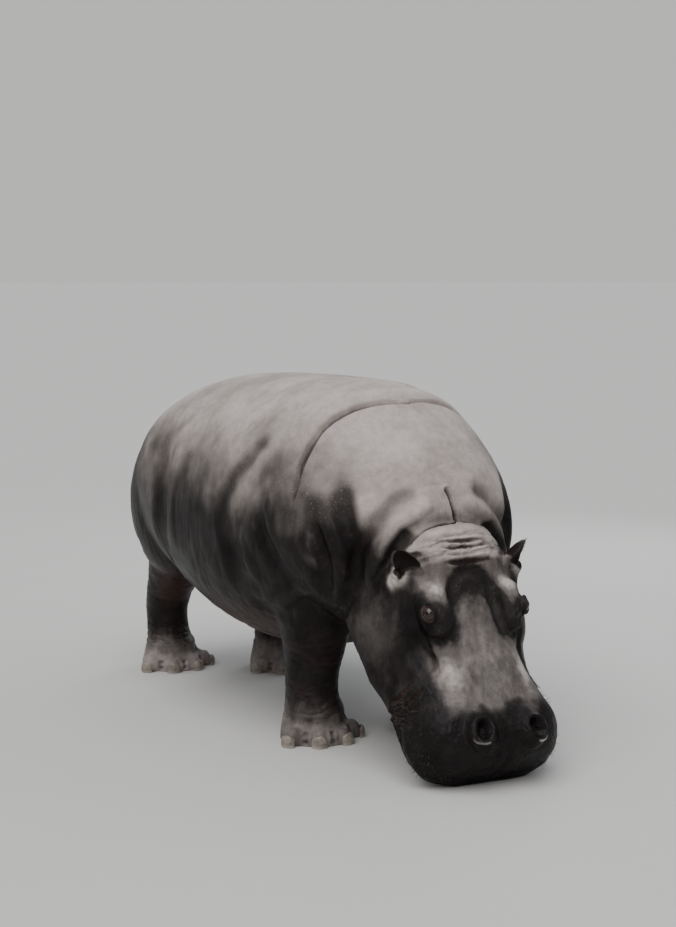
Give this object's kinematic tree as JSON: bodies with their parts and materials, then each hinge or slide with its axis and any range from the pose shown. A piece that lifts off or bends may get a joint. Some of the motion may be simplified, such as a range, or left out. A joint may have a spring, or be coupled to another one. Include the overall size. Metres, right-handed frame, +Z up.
{
  "type": "hippopotamus",
  "caption": "Life-size still figure of a hippopotamus standing on its feet with the head lowered to the ground as if drinking, body divided into named parts.",
  "frame": {"origin": "on the floor, under the middle of the animal's bounding box", "axes": "+Z up, +Y from head to tail (the animal faces -Y), +X to the animal's left"},
  "size_m": [1.1506, 2.9014, 1.4917],
  "materials": {
    "hide": "bare dry grey-brown skin, finely wrinkled, pale on the back and darker where it is wet",
    "face_hide": "bare skin, half wet, dark on the muzzle, with a faint pink round eyes, ears and mouth",
    "leg_hide": "bare dark wet skin with fine ring wrinkles at the ankles",
    "eye": "wet dark brown eyeball",
    "nail": "worn horn, grey-brown, slightly polished at the edge",
    "bristle": "short stiff brown hair on muzzle, ears and tail tip"
  },
  "bodies": {
    "root": {"trunk": "hide", "neck": "hide", "tail": "hide", "head": "face_hide", "lower_jaw": "face_hide", "ear_left": "face_hide", "ear_right": "face_hide", "eye_left": "eye", "eye_right": "eye", "leg_fore_left": "leg_hide", "leg_fore_right": "leg_hide", "leg_hind_left": "leg_hide", "leg_hind_right": "leg_hide", "foot_fore_left": "leg_hide", "foot_fore_right": "leg_hide", "foot_hind_left": "leg_hide", "foot_hind_right": "leg_hide"}
  },
  "joints": []
}
